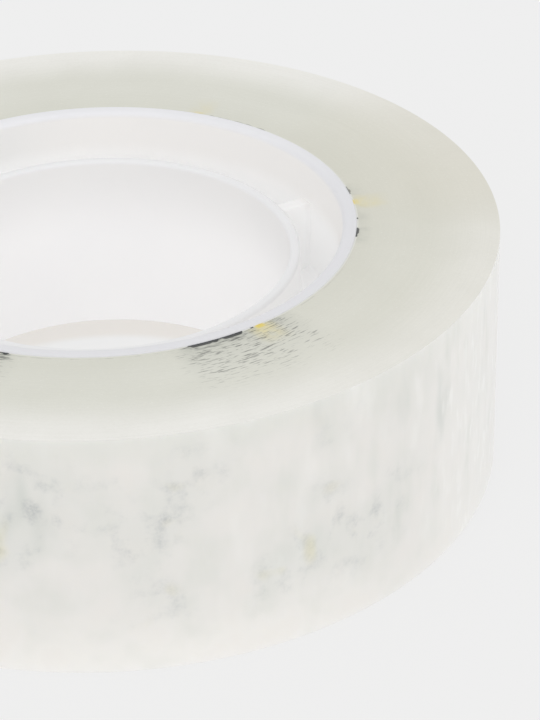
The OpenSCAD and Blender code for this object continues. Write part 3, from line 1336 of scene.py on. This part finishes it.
@dataclass
class WoundTape:
    """The wound tape up to the peel line, whose last turn is a spiral with one step."""

    sizes: RollSizes
    face_rings: int = 96
    wall_rows: int = 18
    inner_rows: int = 2
    step_slant: float = math.radians(0.03)
    merge_distance: float = 0.002 * MM
    # A face that looks up or down by more than this share is one of the roll's flat faces
    flat_share: float = 0.5
    edge_wander: float = 0.012 * MM
    wander_pitch: float = 0.7
    wander_bends: float = 0.8
    # The two flat faces take their wander from places this far apart
    face_shift: float = 30.0
    wall_ripple: float = 0.01 * MM
    ripple_often: float = 14.0
    # How near to the end of a stretch a point still counts as on it
    at_end: float = 0.001

    def tree(self, values: dict[str, Any]) -> Tree:
        """Build the tree that winds the tape.

        A grid is bent into a ring: one way it runs down the roll's section, the other way round the axis.

        Args:
            values: The tree's inputs.

        Returns:
            The geometry node tree.
        """
        geometry = {"Geometry": SocketKind.GEOMETRY}
        canvas = new_tree("Wound tape", "GeometryNodeTree", sockets_for(values), geometry)
        given = canvas.add("NodeGroupInput")
        rings, rows, columns = given["Face Rings"], given["Wall Rows"], canvas.plus(given["Turn Steps"], 1.0)
        to_wall = canvas.plus(rings, rows)
        to_foot = canvas.plus(to_wall, rings)
        total = canvas.plus(to_foot, given["Inner Rows"])
        sides = {"Size X": 1.0, "Size Y": 1.0}
        sides |= {"Vertices X": canvas.plus(total, 1.0), "Vertices Y": canvas.plus(columns, 1.0)}
        grid = canvas.add("GeometryNodeMeshGrid", sides)["Mesh"]
        x, y, _ = canvas.split(canvas.add("GeometryNodeInputPosition")[0])
        along = canvas.math("ROUND", canvas.product(canvas.plus(x, HALF), total))
        column = canvas.math("ROUND", canvas.product(canvas.plus(y, HALF), columns))
        stretches = ((0.0, rings), (rings, rows), (to_wall, rings), (to_foot, given["Inner Rows"]))
        on_top, on_wall, on_foot, on_inner = [
            canvas.math("DIVIDE", canvas.minus(along, start), length, clamp=True)
            for start, length in stretches
        ]
        out, down = canvas.minus(on_top, on_foot), canvas.minus(on_wall, on_inner)
        spot = self.spot(canvas, given, column, out, down, on_wall)
        bent = canvas.add("GeometryNodeSetPosition", {"Geometry": grid, "Position": spot})[0]
        merged = {"Geometry": bent, "Distance": self.merge_distance}
        closed = canvas.add("GeometryNodeMergeByDistance", merged)[0]
        whole = canvas.add("GeometryNodeRealizeInstances", {0: closed})[0]
        edged = {"Geometry": whole, "Material": given["Edge Material"]}
        edged = canvas.add("GeometryNodeSetMaterial", edged)[0]
        upwards = canvas.split(canvas.add("GeometryNodeInputNormal")[0])[2]
        upright = canvas.math("LESS_THAN", canvas.math("ABSOLUTE", upwards), self.flat_share)
        sided = {"Geometry": edged, "Selection": upright, "Material": given["Side Material"]}
        return canvas.done({"Geometry": canvas.add("GeometryNodeSetMaterial", sided)[0]})

    def spot(self, canvas: NodeCanvas, given: Any, column: Any, out: Any, down: Any, on_wall: Any) -> Socket:
        """Place a point of the grid on the roll, whose last turn grows by one thickness in its second half.

        Args:
            canvas: The tree under construction.
            given: The tree's inputs.
            column: The point's number round the axis. The one after the last closes the step.
            out: How far out on the section it lies, from 0 to 1.
            down: How far down on the section it lies, from 0 to 1.
            on_wall: How far down the outer wall it lies, from 0 to 1.

        Returns:
            The point's place.
        """
        steps, slant = given["Turn Steps"], given["Step Slant"]
        turn = canvas.math("DIVIDE", column, steps, clamp=True)
        closing = canvas.above(column, canvas.plus(steps, HALF))
        growth = canvas.line(canvas.math("COSINE", canvas.product(turn, TURN)), HALF, HALF)
        growth = canvas.product(growth, canvas.above(turn, HALF), canvas.minus(1.0, closing))
        azimuth = canvas.line(turn, canvas.minus(TURN, slant), given["Peel Azimuth"])
        azimuth = canvas.line(closing, slant, azimuth)
        cosine, sine = canvas.math("COSINE", azimuth), canvas.math("SINE", azimuth)
        around = canvas.combined(cosine, sine, 0.0)
        outermost = canvas.above(out, canvas.minus(1.0, canvas.over(HALF, given["Face Rings"])))
        span = canvas.minus(given["Under Radius"], given["Inner Radius"])
        radius = canvas.line(out, span, given["Inner Radius"])
        radius = canvas.plus(radius, canvas.product(outermost, growth, given["Strip Thickness"]))
        radius = canvas.minus(radius, self.ripple(canvas, around, on_wall, given["Wall Ripple"]))
        width = canvas.minus(given["High"], given["Low"])
        height = canvas.minus(given["High"], canvas.product(down, width))
        height = canvas.plus(height, self.wander(canvas, given, around, out, on_wall))
        return canvas.combined(canvas.product(radius, cosine), canvas.product(radius, sine), height)

    def wander(self, canvas: NodeCanvas, given: Any, around: Any, out: Any, on_wall: Any) -> Socket:
        """Let the turns' edges stand a little high or low, each by itself.

        Args:
            canvas: The tree under construction.
            given: The tree's inputs.
            around: The direction from the axis.
            out: How far out on a face a point lies, from 0 to 1.
            on_wall: How far down the wall a point lies, which tells the two faces apart.

        Returns:
            The height to add.
        """
        across = canvas.product(out, given["Face Rings"], self.wander_pitch)
        bends = canvas.scaled(around, self.wander_bends)
        shift = canvas.combined(canvas.product(on_wall, self.face_shift), 0.0, across)
        level = canvas.minus(canvas.noise(canvas.vector("ADD", bends, shift), grit=Grit.PLAIN), HALF)
        on_face = canvas.above(canvas.off(on_wall, HALF), HALF - self.at_end)
        inside = canvas.above(out, self.at_end)
        return canvas.product(level, on_face, inside, given["Edge Wander"], 1 / HALF)

    def ripple(self, canvas: NodeCanvas, around: Any, on_wall: Any, most: Any) -> Socket:
        """Draw the wall in a little, in upright ripples that end at its two edges.

        Args:
            canvas: The tree under construction.
            around: The direction from the axis.
            on_wall: How far down the wall a point lies, from 0 to 1.
            most: The deepest ripple.

        Returns:
            The depth to take off the radius.
        """
        down = canvas.combined(0.0, 0.0, on_wall)
        level = canvas.noise(canvas.vector("ADD", canvas.scaled(around, self.ripple_often), down))
        return canvas.product(level, canvas.minus(1.0, on_wall), on_wall, most, ARCH_GAIN)

    def build(self, edge: Material, side: Material) -> None:
        """Wind the tape.

        Args:
            edge: The finish of the two flat faces.
            side: The finish of the round side.
        """
        values = {
            "Inner Radius": self.sizes.band_r,
            "Under Radius": self.sizes.under_r,
            "Strip Thickness": STRIP_T,
            "Low": self.sizes.tape_low,
            "High": self.sizes.tape_high,
            "Peel Azimuth": self.sizes.peel_azimuth,
            "Step Slant": self.step_slant,
            "Edge Wander": self.edge_wander,
            "Wall Ripple": self.wall_ripple,
            "Face Rings": self.face_rings,
            "Wall Rows": self.wall_rows,
            "Inner Rows": self.inner_rows,
            "Turn Steps": TURN_STEPS,
            "Edge Material": edge,
            "Side Material": side,
        }
        tape = grown(bpy.data.meshes.new("wound_tape"), self.tree(values), values)
        settle(tape, "tape_winding", Body.ROLL)


@dataclass
class FreeEnd:
    """The last stretch of the strip, which curls off the roll where it is peeled."""

    sizes: RollSizes
    length: float = 16 * MM
    open_by: float = 8 * MM
    bend_length: float = 2.5 * MM
    steps: int = 64
    rows: int = 6

    def build(self, material: Material) -> None:
        """Curl the strip off the roll from the peel line.

        Args:
            material: The single film's finish.
        """
        root = self.sizes.peel_azimuth
        outward = Vector((math.cos(root), math.sin(root), 0))
        inner = self.sizes.film_r + self.open_by
        heights = np.linspace(self.sizes.tape_low, self.sizes.tape_high, self.rows + 1)
        section = [(inner, z) for z in heights] + [(inner + STRIP_T, z) for z in heights[::-1]]
        rings = swept(section, np.linspace(root, root + self.length / inner, self.steps + 1))
        last = len(section) - 1
        cap: Faces = [(row, row + 1, last - row - 1, last - row) for row in range(self.rows)]
        mesh = lofted("tape_free_end", rings - np.array(outward * self.open_by), cap)
        film = new_object("tape_free_end", mesh)
        film.data.materials.append(material)
        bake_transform(film)
        settle(film, "tape_end")


class Lamp(NamedTuple):
    """One soft square lamp: where it hangs, as angles from the roll, its side and its power in watts."""

    name: str
    azimuth: float
    elevation: float
    size: float
    power: float


@dataclass
class Studio:
    """The pale floor, the soft light all round and the camera at the photograph's viewing angle."""

    sizes: RollSizes
    camera_place: Vector = field(default_factory=lambda: Vector((0.0, -181.85, 116.93)) * MM)
    camera_aim: Vector = field(default_factory=lambda: Vector((10.67, -19.63, 18.1)) * MM)
    camera_roll: float = math.radians(-0.95)
    lens: float = 146.86
    nearest: float = 0.01
    farthest: float = 20.0
    floor_half: float = 3.0
    backdrop: Colour = paint(241, 241, 241)
    floor: Colour = paint(239, 239, 239)
    painted_shadow: Colour = paint(235, 231, 226)
    past_bore: Ramp = Ramp(0.8 * MM, 2.0 * MM)
    past_roll: Ramp = Ramp(0.0, -3 * MM)
    shadow_share: float = 0.22
    glow: Ramp = Ramp(0.0, 1.0, 1.12, 1.0)
    sky: Ramp = Ramp(0.0, 1.0, 0.92, 0.82)
    white: Colour = (1.0, 1.0, 1.0, 1.0)
    lamp_distance: float = 0.8
    lamps: tuple[Lamp, ...] = (
        Lamp("key", math.radians(-110), math.radians(40), 0.6, 0.8),
        Lamp("side", math.radians(-25), math.radians(25), 0.4, 0.4),
    )

    def build(self) -> None:
        """Set up the floor, the world, the lamps and the camera."""
        self.build_floor()
        self.build_world()
        for lamp in self.lamps:
            self.build_lamp(lamp)
        self.build_camera()

    @staticmethod
    def seen_directly(canvas: NodeCanvas) -> Socket:
        """Tell the rays that show a surface from those that light it.

        Args:
            canvas: The tree under construction.

        Returns:
            1 for a ray that shows the surface, and 0 for one that lights it.
        """
        path = canvas.add("ShaderNodeLightPath")
        shown = canvas.math("MAXIMUM", path["Is Camera Ray"], path["Is Glossy Ray"])
        return canvas.math("MAXIMUM", shown, path["Is Transmission Ray"])

    def build_floor(self) -> None:
        """Lay a pale floor that keeps a faint shadow, with a warm shadow painted under the roll."""
        half = self.floor_half
        corners = np.array([(-half, -half, 0), (half, -half, 0), (half, half, 0), (-half, half, 0)])
        floor = new_object("floor", mesh_from("floor", corners, [(0, 1, 2, 3)]))
        material = bpy.data.materials.new("floor")
        material.use_nodes = True
        canvas = NodeCanvas(material.node_tree)
        matte = canvas.add("ShaderNodeBsdfDiffuse", {"Color": self.floor})[0]
        x, y, _ = canvas.split(canvas.add("ShaderNodeTexCoord")["Object"])
        radius = canvas.vector("LENGTH", canvas.combined(x, y, 0.0))
        # A warm shadow is painted on the floor under the roll, outside the bore
        under = canvas.ramp(radius, self.past_bore.past(self.sizes.bore_r))
        within = canvas.ramp(radius, self.past_roll.past(self.sizes.under_r))
        shade = canvas.tinted(self.backdrop, self.painted_shadow, under, within)
        glow = canvas.ramp(self.seen_directly(canvas), self.glow)
        plain = canvas.add("ShaderNodeEmission", {"Color": shade, "Strength": glow})[0]
        mixed = canvas.add("ShaderNodeMixShader", {0: 1 - self.shadow_share, 1: matte, 2: plain})[0]
        canvas.add("ShaderNodeOutputMaterial", {"Surface": mixed})
        floor.data.materials.append(material)

    def build_world(self) -> None:
        """Light the roll from all round, a little more from the sides than from above."""
        world = bpy.data.worlds.new("studio")
        bpy.context.scene.world = world
        world.use_nodes = True
        canvas = NodeCanvas(world.node_tree)
        upward = canvas.split(canvas.add("ShaderNodeTexCoord")["Generated"])[2]
        level = canvas.ramp(upward, self.sky)
        light = canvas.add("ShaderNodeBackground", {"Color": self.white, "Strength": level})[0]
        shown = canvas.add("ShaderNodeBackground", {"Color": self.backdrop})[0]
        seen = self.seen_directly(canvas)
        mixed = canvas.add("ShaderNodeMixShader", {0: seen, 1: light, 2: shown})[0]
        canvas.add("ShaderNodeOutputWorld", {"Surface": mixed})

    def build_lamp(self, lamp: Lamp) -> None:
        """Hang one lamp that looks at the roll.

        Args:
            lamp: Its place, size and power.
        """
        level = math.cos(lamp.elevation)
        flat = Vector((math.cos(lamp.azimuth), math.sin(lamp.azimuth))) * level
        place = Vector((flat.x, flat.y, math.sin(lamp.elevation))) * self.lamp_distance
        light = bpy.data.lights.new(lamp.name, "AREA")
        light.size = lamp.size
        light.energy = lamp.power
        holder = new_object(lamp.name, light)
        holder.location = place
        holder.rotation_euler = (-place).to_track_quat("-Z", "Y").to_euler()

    def build_camera(self) -> None:
        """Set the camera where the photograph was taken from."""
        data = bpy.data.cameras.new("camera")
        data.lens = self.lens
        data.clip_start, data.clip_end = self.nearest, self.farthest
        camera = new_object("camera", data)
        forward = (self.camera_aim - self.camera_place).normalized()
        level = forward.to_track_quat("-Z", "Y").to_matrix()
        turn = level @ Matrix.Rotation(self.camera_roll, 3, "Z")
        camera.matrix_world = Matrix.Translation(self.camera_place) @ turn.to_4x4()
        bpy.context.scene.camera = camera


def main() -> None:
    """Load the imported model, dress every piece and set up the studio."""
    logging.basicConfig(level=logging.INFO, format="%(name)s %(message)s")
    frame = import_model()
    bpy.context.scene.view_settings.view_transform = "Standard"
    bpy.context.scene.cycles.diffuse_bounces = WHITE_BOUNCES
    bpy.context.scene.cycles.max_bounces = WHITE_BOUNCES
    sizes = RollSizes.from_frame(frame)
    groups = SharedGroups(sizes, PrintLook())
    Studio(sizes).build()
    core = Core(sizes)
    core.build(CorePlastic(core).material(groups))
    PrintedBand(sizes).build(BandInk().material(groups))
    WoundTape(sizes).build(WoundEdge().material(groups), WoundSide().material(groups))
    FreeEnd(sizes).build(ClearFilm().material(groups))


if __name__ == "__main__":
    main()
